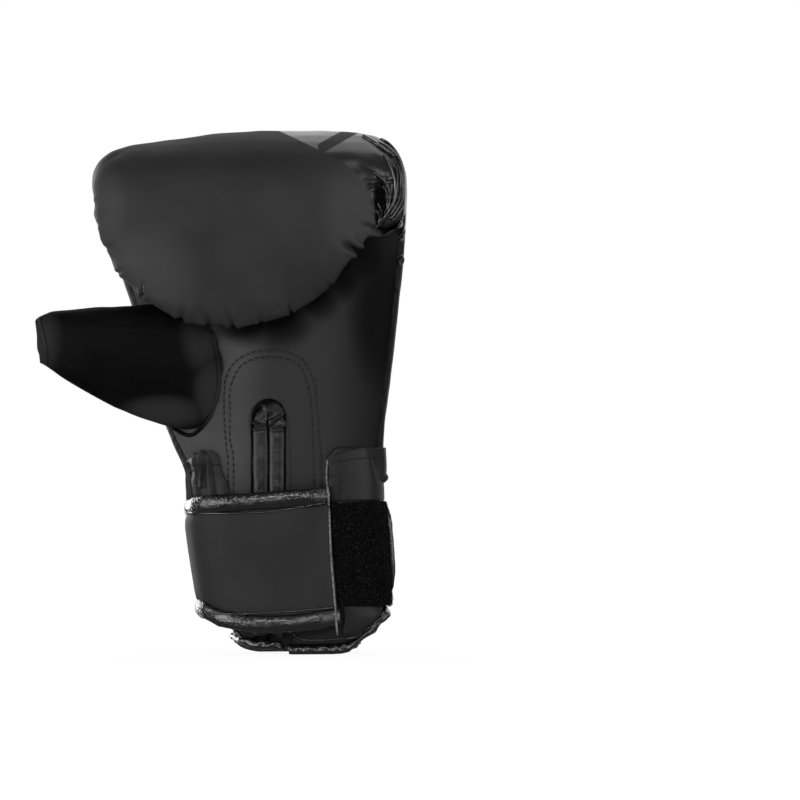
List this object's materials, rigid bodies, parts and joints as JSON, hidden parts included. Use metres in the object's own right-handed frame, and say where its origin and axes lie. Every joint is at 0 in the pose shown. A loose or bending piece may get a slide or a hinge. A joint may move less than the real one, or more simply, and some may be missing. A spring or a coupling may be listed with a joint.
{
  "type": "bag glove",
  "caption": "Padded leather bag glove for the left hand, with a finger roll, open thumb sleeve, slit palm and hook-and-loop wrist strap.",
  "frame": {"origin": "on the floor under the middle of the glove's bounding box, the glove standing on its cuff's hem", "axes": "+Z from the cuff up to the knuckles, -Y the palm side with the finger roll, +Y the back of the hand, -X the thumb"},
  "size_m": [0.183, 0.0994, 0.2605],
  "materials": {
    "matte_leather": "matte",
    "palm_leather": "matte",
    "thumb_leather": "matte",
    "band_leather": "satin",
    "strap_leather": "matte",
    "gloss_binding": "gloss",
    "slit_leather": "satin",
    "loop_pile": "pile",
    "lining": "matte"
  },
  "bodies": {
    "root": {"hand_pad": "matte_leather", "finger_roll": "matte_leather", "palm_panel": "palm_leather", "thumb": "thumb_leather", "cuff": "lining", "wrist_band": "band_leather", "loop_patch": "loop_pile", "strap": "strap_leather", "strap_binding": "gloss_binding", "slit_binding": "slit_leather", "hem_binding": "gloss_binding"}
  },
  "joints": []
}
